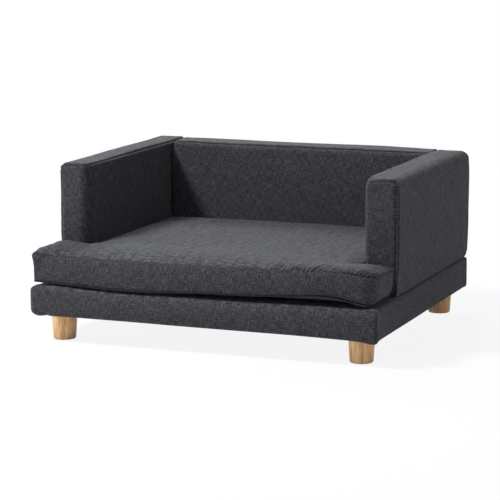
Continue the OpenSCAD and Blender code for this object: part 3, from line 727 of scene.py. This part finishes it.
def make_arm(side):
    """An arm, drawn on the right and mirrored for the left."""
    shape = ARM_SHAPES[side]
    word, form = shape["word"], arm_form(shape)
    seam = arm_seam(form, shape)
    moved, quads, normals, dark = arm_surface(form, seam, shape)
    faces = quads if side > 0 else [q[::-1] for q in quads]
    flipped = moved * np.array([side, 1, 1])
    cover = make_cover(f"{word}_arm_upholstery", flipped, faces, dark, "frame", f"{word}_arm_cover")

    def give_way(form, points):
        return soft_corner(form, points, shape["give"] * MM)

    timber = ["right_arm_inner_skin", "right_arm_outer_skin", "right_arm_bottom_rail"]
    mirror(foam_round(f"{word}_arm_padding", form, 4 * MM, timber, [f"{word}_arm_foam"], give_way), side)
    aside, pitch, length, radius = 3.2 * MM, 7 * MM, 3.2 * MM, 0.65 * MM
    row = form.onto(upright_part(seam, form.hi[2], 2 * UNDER_TOP) + np.array([aside, 0, 0]))
    stitches = stitch_row(f"{word}_arm_topstitch", moved, normals, row, pitch, length, radius)
    mirror(stitches, side)
    finish_piece(stitches, "frame")


def slack_end(form, points):
    """How far the back's left end falls away from the arm, at its top."""
    x, y, z = points.T
    ahead = fall(y, form.lo[1] + 10 * MM, 35 * MM)
    high = fall(form.hi[2] - z, 0, 48 * MM) ** 1.4
    shift = 7.5 * MM * ahead * high * fall(x, form.lo[0], 45 * MM)
    return np.outer(shift, (1, 0, 0))


def make_back():
    """The back: one panel over the front, one over top and rear, with a seam along the top's front edge."""
    front = ((4, 2.5, 4.5, 4), (0.5, 2.2, 0.5, 0))
    side = ((12, 9, 14, 3.5), (3, 1, 2, 0))
    plan = ((3, 3, 4, 5), (0.5, 2, 0.5, 2))
    form = Padded(box_of("back_cover"), (0, -0.5, 0.3), (0, 2, 3.6), front, side, plan)
    lo, hi = form.lo, form.hi
    seam = form.seam([(x, lo[1] + 5 * MM, hi[2]) for x in (lo[0], hi[0])])
    points, quads, normals = form.mesh(((), (lo[1] + 6 * MM,), ()), FINE, COARSE)
    x, _, z = points.T
    uneven = wobble(points, 150 * MM, 21) * 1.3 * MM + wobble(points, 45 * MM, 22) * 0.4 * MM
    ends = rise(np.minimum(x - lo[0], hi[0] - x), 0, 15 * MM)
    moved = points + normals * (uneven * ends * rise(z, lo[2], 12 * MM))[:, None]
    # dark is the painted shade along the top seam.
    moved, dark = sewn(moved, normals, [seam], 1.9 * MM, 0.7 * MM, 0.4 * MM, 25, 1.7 * MM)
    moved += slack_end(form, points)
    moved[:, 2] += 1.3 * MM * fall(x, lo[0], 110 * MM) * rise(z, hi[2] - 40 * MM, 40 * MM)
    cover = make_cover("back_upholstery", moved, quads, dark, "frame", "back_cover")
    timber = ["back_front_skin", "back_rear_skin", "back_bottom_rail"]
    foam_round("back_padding", form, 4 * MM, timber, ["back_foam"], slack_end)


# Height of the base's top front edge against a straight one, by place along x, in mm
BASE_EDGE = (
    (-360, 3.8), (-300, 1.8), (-243, -4), (-190, -7.4), (-157, -9.8), (-114, -10), (-71, -9.6),
    (-28, -9.6), (15, -11.6), (58, -11.8), (101, -11.4), (144, -10.8), (187, -9.8), (230, -9.5),
    (273, -9.1), (305, -7.6), (360, -2),
)
# The same for the bottom front edge
BASE_UNDER = (
    (-360, 0), (-265, 1.8), (-140, 1.4), (-60, 0), (60, -0.6), (180, -1), (250, -2.4), (290, -4),
    (360, -3.6),
)


def base_front(form, points):
    """How near a point is to the base's front, and its share of the base's height."""
    ahead = fall(points[:, 1], form.lo[1] + 2 * MM, 40 * MM)
    return ahead, rise(points[:, 2], form.lo[2], form.hi[2] - form.lo[2])


def front_line(form, points):
    """How far the base's uneven top front edge lies from a straight one."""
    ahead, height = base_front(form, points)
    drop = curve_through(points[:, 0], BASE_EDGE) * ahead**2 * height**2
    return np.outer(drop, (0, 0, 1))


def under_line(form, points, walls):
    """How far the base's lower edge hangs or is pulled up, with its notch and its knotted corner."""
    x, y, _ = points.T
    lo, hi = form.lo, form.hi
    ahead, height = base_front(form, points)
    under = fall(height, 0, 0.3)
    notch = (3 * bell(x + 0.334, 5 * MM) - 1.8 * bell(x + 0.352, 8 * MM)) * MM
    knob = bell(np.hypot(x - hi[0] + 16 * MM, y - lo[1] - 8 * MM), 13 * MM)
    drop = wobble(points, 62 * MM, 34, (1, 1, 9)) * 1.2 * MM * walls
    drop += (curve_through(x, BASE_UNDER) + notch) * ahead**2
    return under * (drop - 2.4 * MM * rise(x, 0.3, 0.06) - 3.2 * MM * knob)


def make_base():
    """The base: its cover is pulled round the edges, and its front edge is uneven under the cushion."""
    front = ((5, 7, 16, 17), (3.5, 0, 7.5, 0))
    side = ((6, 6, 12, 8), (3.5, 0, 6, 0))
    plan = ((4, 7, 8, 12), (1.5, 2, 1, 1.5))
    form = Padded(box_of("base_cover"), (-10, -3.5, -0.5), (5, 2, 0), front, side, plan)
    lo, hi = form.lo, form.hi
    points, quads, normals = form.mesh(((), (), ()), FINE, COARSE * 1.15)
    uneven = wobble(points, 110 * MM, 31, (1.6, 1, 0.8)) * 1.5 * MM + wobble(points, 34 * MM, 32) * 0.5 * MM
    walls = 1 - np.clip(np.abs(normals[:, 2]) * 1.6 - 0.4, 0, 1)
    moved = points + normals * (uneven * walls)[:, None] + front_line(form, points)
    moved[:, 2] += under_line(form, points, walls)
    upright = [(lo[0], hi[1]), (hi[0], lo[1]), (hi[0], hi[1])]
    seams = [form.seam([(x, y, lo[2]), (x, y, hi[2] - 6 * MM)]) for x, y in upright]
    # dark is the painted shade along the upright corner seams.
    moved, dark = sewn(moved, normals, seams, 1.8 * MM, 0.6 * MM, 0.5 * MM, 36)
    edge = box_of("dust_cover")[1]
    x, y, z = np.array([points[q].mean(0) for q in quads]).T
    open_part = (z < lo[2] + MM) & (abs(x) < edge[0]) & (abs(y) < edge[1])
    kept = [q for q, gone in zip(quads, open_part) if not gone]
    cover = make_cover("base_upholstery", *compact(moved, kept, dark), "frame", "base_cover")
    timber = ["deck_board", "front_rail", "left_rail"]
    foam_round("base_padding", form, 7.5 * MM, timber, ["base_top_foam", "base_edge_foam"], front_line)


# Seat cushion

EAR_REAR = ARM_LO[1] - 8 * MM
EAR, FRONT, REAR = SEAT_HI[0] + 1.5 * MM, SEAT_LO[1] - MM, SEAT_HI[1]
SEAT_HALF = ARM_LO[0] - 3.4 * MM
LOW_SEAM, TOP_SEAM = SEAT_LO[2] + 0.5 * MM, SEAT_HI[2] - 16 * MM
# Heights of the cushion's lower and upper front seam against straight ones, by place along x, in mm
LOW_EDGE = (
    (-357, 6), (-320, 4.5), (-300, 4), (-243, 2), (-190, -1), (-157, -0.8), (-114, -0.5), (-71, 1.6),
    (-28, 4.2), (15, 6), (58, 6.2), (101, 7), (144, 9.5), (208, 13.2), (235, 15.8), (262, 15.5), (297, 10.5),
    (335, 1.5), (357, 1),
)
TOP_EDGE = ((-357, 1), (-300, 0), (0, 0), (100, 2), (200, 5.5), (310, 5.5), (340, -0.5), (357, -0.5))
# Height of the top over its seam, how far the seams lie inside the sides, radius of the full left inner
# corner, and how far the soft front edge rolls back
CROWN, SEAM_IN, FULL_CORNER, ROLL = 14 * MM, 1.5 * MM, 42 * MM, 4 * MM


def corner_rounded(p, corner, inward, r):
    """Rounds the plan's square corner: the square of side r at the corner becomes a quarter disc."""
    local = (p - corner) * inward
    inside = (local[:, 0] < r) & (local[:, 1] < r)
    d = r - local
    scale = np.max(np.abs(d), axis=1) / np.maximum(np.linalg.norm(d, axis=1), 1e-9)
    return np.where(inside[:, None], corner + (r - d * scale[:, None]) * inward, p)


class Tee:
    """The cushion's T-shaped plan, set inwards all round by some distance."""

    def __init__(self, inset):
        self.inset = inset
        self.ear, self.front, self.ear_rear = EAR - inset, FRONT + inset, EAR_REAR - inset
        self.half, self.rear = SEAT_HALF - inset, REAR - inset

    def rounded(self, p):
        """Rounds the six outer corners of the T."""
        for side, front in ((-1, 5), (1, 30)):
            turns = [(self.ear, self.front, 1, front), (self.ear, self.ear_rear, -1, 12)]
            for x, y, inward, radius in [*turns, (self.half, self.rear, -1, 15)]:
                p = corner_rounded(p, (side * x, y), (-side, inward), radius * MM)
        return p

    def depth(self, p):
        """Distance of a point of the square plan to the T's border, more in the full left inner corner."""
        x, y = p.T
        in_ear = np.minimum(self.ear - abs(x), np.minimum(y - self.front, self.ear_rear - y))
        in_seat = np.minimum(self.half - abs(x), np.minimum(y - self.front, self.rear - y))
        full = (x < 0) & (in_seat < FULL_CORNER) & (y > self.front + 60 * MM)
        joined = np.where(full, soft_max(in_ear, in_seat, FULL_CORNER), np.maximum(in_ear, in_seat))
        return np.maximum(joined, 0)

    def grid(self):
        """Points and quads of the square-cornered plan, finer at its edges and the gathered front."""
        plain = self.inset > 0
        fine, coarse, closer = (7 * MM, 16 * MM, 9 * MM) if plain else (3 * MM, 6.5 * MM, 2.6 * MM)
        turn = 0.15
        far_ear = graded(self.half, self.ear, [self.half, self.ear], fine, coarse)
        near_ear = graded(self.half, self.ear, [self.half], closer, closer)
        left = graded(-self.half, turn, [-self.half], fine, coarse)
        right = graded(turn, self.half, [self.half], closer, closer)
        xs = np.concatenate([-far_ear[::-1], left[1:], right[1:], near_ear[1:]])
        edge = graded(self.front, self.front + 45 * MM, [self.front], closer, closer)
        ahead = graded(edge[-1], self.ear_rear, [self.ear_rear], fine, coarse)
        behind = graded(self.ear_rear, self.rear, [self.ear_rear, self.rear], fine, coarse)
        ys = np.concatenate([edge, ahead[1:], behind[1:]])
        index, quads = {}, []
        for i in range(len(xs) - 1):
            for j in range(len(ys) - 1):
                if abs(xs[i] + xs[i + 1]) / 2 > self.half and ys[j] + ys[j + 1] > 2 * self.ear_rear:
                    continue
                quads.append([index.setdefault(corner, len(index)) for corner in cell(i, j)])
        return np.array([(xs[i], ys[j]) for i, j in index]), quads


def soft_front(x, y):
    """1 along the front's left and middle part, where the edge is a soft roll without a sharp seam."""
    return fall(x, 0.19, 0.08) * rise(x, -0.348, 0.03) * fall(y, FRONT + 24 * MM, 40 * MM)


def crown_height(p, depth):
    """Height of the cushion's top above its seam: a rolled edge and a low dome."""
    x, y = p.T
    t = rise(depth, 0, 44 * MM)
    edge = (1 - (1 - t) ** 2.3) ** (0.75 + 0.3 * soft_front(x, y))
    middle = (FRONT + REAR) / 2
    dome = (1 - (x / EAR) ** 2) * (1 - ((y - middle) / (REAR - middle)) ** 2)
    return CROWN * edge * (0.7 + 0.3 * dome)


def side_rise(p):
    """Height of the ears' side seams against straight ones: the left ear stands up, the right one droops."""
    x, y = p.T
    left = rise(-x, 0.27, 0.06) * rise(y, FRONT, 26 * MM) ** 0.8
    right = rise(x, 0.3, 0.055) * rise(y, FRONT + 15 * MM, 80 * MM)
    return 7.5 * MM * left - 4 * MM * right


def ordered_border(quads):
    """The outer edge of a sheet of quads as one closed ring of point numbers."""
    edges = {(a, b) for q in quads for a, b in zip(q, q[1:] + q[:1])}
    after = {a: b for a, b in edges if (b, a) not in edges}
    ring = [min(after)]
    while after[ring[-1]] != ring[0]:
        ring.append(after[ring[-1]])
    return ring


def cushion_blank(inset=0.0):
    """The cushion before it is filled, or its foam where inset is given: points, faces, the ring of its
    upper seam and the plan's size."""
    tee = Tee(inset)
    square, quads = tee.grid()
    ring = ordered_border(quads)
    plan, depth, n = tee.rounded(square), tee.depth(square) + inset, len(square)
    ahead = fall(plan[:, 1], FRONT, 85 * MM) ** 2
    top_z = TOP_SEAM + curve_through(plan[:, 0], TOP_EDGE) * ahead + side_rise(plan)
    top_z += crown_height(plan, depth) - inset
    rest = 4 * MM
    lift = rest + (curve_through(plan[:, 0], LOW_EDGE) - rest) * ahead
    share = fall(depth, 0, 66 * MM)
    lift *= share**2 * (3 - 2 * share)
    lift += 0.75 * inset
    border = plan[ring]
    way = np.roll(border, -1, 0) - np.roll(border, 1, 0)
    outward = np.stack([way[:, 1], -way[:, 0]], -1) / np.linalg.norm(way, axis=1, keepdims=True)
    rows = 5 if inset else 10
    shares = (1 - np.cos(np.linspace(0, np.pi, rows + 1))) / 2
    z0, z1 = LOW_SEAM + lift[ring], top_z[ring]
    full = rise(border[:, 0], 0.15, 0.15) * fall(border[:, 1], EAR_REAR - 0.03, 0.05)
    bulge = (1.2 + 3.5 * full) * MM
    tuck = (4 + 5 * full**2) * MM
    roll = ROLL * soft_front(*border.T)
    levels = []
    for s in shares:
        shift = bulge * math.sin(math.pi * s) - tuck * (1 - s) ** 2 - SEAM_IN
        shift -= roll * max(0, s / 0.45 - 1.22) ** 2
        levels.append(np.column_stack([border + outward * shift[:, None], z0 + (z1 - z0) * s]))
    bottom = np.column_stack([plan, LOW_SEAM + lift])
    plan[:, 1] += ROLL * soft_front(*plan.T) * fall(depth, 0, 28 * MM)
    top = np.column_stack([plan, top_z])
    top[ring], bottom[ring] = levels[-1], levels[0]
    points = np.concatenate([top, bottom, *levels[1:-1]])
    points[:, 0] -= 5.5 * MM * rise(-points[:, 0], 0.29, 0.06)
    between = (2 * n + np.arange((rows - 1) * len(ring))).reshape(rows - 1, -1).tolist()
    sides = bands([[n + i for i in ring], *between, ring])
    faces = quads + [[n + i for i in q[::-1]] for q in quads] + sides
    return points, faces, np.array(ring), n


def evaluated_copy(piece):
    """The piece's points, faces and outward directions with its modifiers applied."""
    mesh = piece.evaluated_get(bpy.context.evaluated_depsgraph_get()).to_mesh()
    points, normals = np.zeros(len(mesh.vertices) * 3), np.zeros(len(mesh.vertices) * 3)
    mesh.vertices.foreach_get("co", points)
    mesh.vertices.foreach_get("normal", normals)
    faces = [list(p.vertices) for p in mesh.polygons]
    return points.reshape(-1, 3), faces, normals.reshape(-1, 3)


# Settings of the cloth and of its two groups of points
CLOTH = dict(
    quality=5, mass=0.3, tension_stiffness=14, compression_stiffness=12, shear_stiffness=5,
    bending_stiffness=4, use_pressure=True, vertex_group_mass="held", pin_stiffness=1.0,
    vertex_group_shrink="tight", shrink_min=0.0, shrink_max=0.02,
)


def swell(points, faces, tight, held, pressure, cap):
    """Fills a sewn form with a short cloth simulation. tight says how much each point's cloth is taken
    in, held how strongly it is kept in place, and cap how far a point may move."""
    piece = make_object("cushion_blank", points, faces, MATERIALS["upholstery"])
    for name, weights in (("tight", tight), ("held", held)):
        group = piece.vertex_groups.new(name=name)
        levels = np.round(weights, 2)
        for level in np.unique(levels):
            group.add(np.flatnonzero(levels == level).tolist(), float(level), "REPLACE")
    cloth = piece.modifiers.new("cloth", "CLOTH")
    for key, value in CLOTH.items():
        setattr(cloth.settings, key, value)
    cloth.settings.uniform_pressure_force = pressure
    cloth.settings.effector_weights.gravity = 0
    cloth.point_cache.frame_start = 1
    cloth.point_cache.frame_end = 20
    for step in range(1, 21):
        bpy.context.scene.frame_set(step)
    moved = evaluated_copy(piece)[0]
    bpy.context.scene.frame_set(1)
    bpy.data.objects.remove(piece)
    shift = moved - points
    length = np.linalg.norm(shift, axis=1, keepdims=True)
    return points + shift * np.minimum(1, cap / np.maximum(length, 1e-9))


def subdivided(points, faces, levels):
    piece = make_object("cushion_fine", points, faces, MATERIALS["upholstery"])
    modifier = piece.modifiers.new("fine", "SUBSURF")
    modifier.levels = modifier.render_levels = levels
    result = evaluated_copy(piece)
    bpy.data.objects.remove(piece)
    return result


def slanted_pleats(p, depth):
    """Sharp creases that start at the front seam and slant back to the right. Gives heights."""
    pitch = 8.2 * MM
    away = np.maximum(p[:, 1] - FRONT, 0)
    phase = (p[:, 0] - 0.32 * away) / pitch
    number = np.floor(phase + 0.5).astype(int)
    spread = np.random.RandomState(7).uniform(size=(3, 200))
    pick = np.clip(number + 100, 0, 199)
    centre = number + (spread[0][pick] - 0.5) * 0.4
    reach = (24 + 30 * spread[1][pick]) * MM
    strength = 0.45 + 0.55 * spread[2][pick]
    across = abs(phase - centre) * pitch
    crease = 0.45 * bell(across - 3.3 * MM, 1.8 * MM) - bell(across, 1.5 * MM)
    fade = fall(away, 0, reach) ** 0.6 * rise(away, -MM, 2.5 * MM)
    return depth * strength * crease * fade


def valley(p, corner, way, length, width, depth):
    """A soft dip in the cushion's top that runs from a corner and dies away."""
    local = p[:, :2] - corner
    way = np.array(way) / np.hypot(*way)
    along, across = local @ way, local[:, 0] * way[1] - local[:, 1] * way[0]
    return -depth * bell(across, width) * fall(along, 0, length) * bell(np.minimum(along, 0), width)


def make_cushion():
    points, faces, ring, n = cushion_blank()
    low_ring = ring + n
    tight = np.zeros(len(points))
    tight[ring] = tight[low_ring] = 1
    held = np.full(len(points), 0.1)
    held[n : 2 * n] = 1
    held[ring] = 0.6
    points = swell(points, faces, tight, held, pressure=3.0, cap=7 * MM)
    points, faces, normals = subdivided(points, faces, levels=1)
    shaped, dark = cushion_sewing(points, normals, ring, low_ring)
    cover = make_cover("seat_cushion", shaped, faces, dark, "cushion", "seat_cushion_cover")
    points, faces, _, _ = cushion_blank(9 * MM)
    core = make_object("seat_cushion_filling", points, faces, MATERIALS["foam"])
    finish_piece(core, "cushion", ["seat_cushion_core"])


def cushion_sewing(points, normals, ring, low_ring):
    """Seams, gathers, creases and slackness of the filled cushion, with the painted shade of its seams."""
    top_seam, low_seam = (dense(points[r], 2 * MM) for r in (ring, low_ring))
    x, y, z = points.T
    shown = np.clip((x - 0.25) / 0.06, 0.16, 1) + 0.3 * rise(-x, 0.24, 0.05)
    away, pleats = pleats_beside(points, top_seam, 60 * MM, 10 * MM, 50)
    low_away, low_pleats = pleats_beside(points, low_seam, 40 * MM, 12 * MM, 51)
    move = -2.2 * MM * bell(away, 1.9 * MM) * shown + 0.5 * MM * bell(away - 8 * MM, 6 * MM)
    calm = 1 - 0.75 * bell(x + 0.14, 0.12)
    move += 0.3 * MM * pleats * calm * np.exp(-away / (16 * MM)) - 1.2 * MM * bell(low_away, 2 * MM)
    move += 0.35 * MM * low_pleats * np.exp(-low_away / (14 * MM))
    gathered = rise(x, 0.03, 0.2) ** 1.3 + 0.5 * rise(-x, 0.27, 0.06)
    on_top = (normals[:, 2] > 0.35) & (z > TOP_SEAM - 3 * MM)
    move += on_top * (y < FRONT + 60 * MM) * slanted_pleats(points, 2.8 * MM * gathered)
    move += on_top * valley(points, (SEAT_HALF, EAR_REAR), (-0.55, -0.85), 75 * MM, 11 * MM, 3.2 * MM)
    soft = wobble(points, 110 * MM, 61, (1.3, 1, 1)) * 0.9 * MM
    move += np.where(z > TOP_SEAM, soft * rise(away, 0, 30 * MM), soft * 0.35)
    resting = (normals[:, 2] < -0.5) & (z < LOW_SEAM + 3 * MM)
    move[resting] = 0
    shaped = points + normals * move[:, None]
    corner = np.hypot(x + EAR, y - FRONT)
    pulled = bell(corner, 9 * MM) * bell(z - TOP_SEAM, 7 * MM)
    shaped += np.outer(pulled, (-2.4 * MM, -0.8 * MM, 0.8 * MM))
    middle = (LOW_SEAM + 8 * MM + TOP_SEAM) / 2
    waist = bell(corner, 30 * MM) * fall(abs(z - middle), 0, 24 * MM)
    shaped += np.outer(waist, (2.4 * MM, 0, 0))
    # Painted shade along the top seam, where it shows, and along the low seam.
    return shaped, np.maximum(bell(away, 1.3 * MM) * shown, bell(low_away, 1.6 * MM))


# CAD nodes that stay


def dress_frame_nodes():
    """Gives each CAD node that still shows the material of its slot in the record, and sharp edges."""
    slot_of = {s["node"]: s["material_slot"] for s in frame["record"]["subparts"]}
    sharp = math.radians(32)
    for name, node in frame["nodes"].items():
        node.data.materials.clear()
        node.data.materials.append(MATERIALS[slot_of[name]])
        node.data.shade_smooth()
        node.data.set_sharp_from_angle(angle=sharp)


bpy.context.scene.view_settings.view_transform = "Standard"
make_camera()
make_lights()
make_floor()
MATERIALS = make_materials()
dress_frame_nodes()
make_arm(-1)
make_arm(1)
make_back()
make_base()
make_cushion()
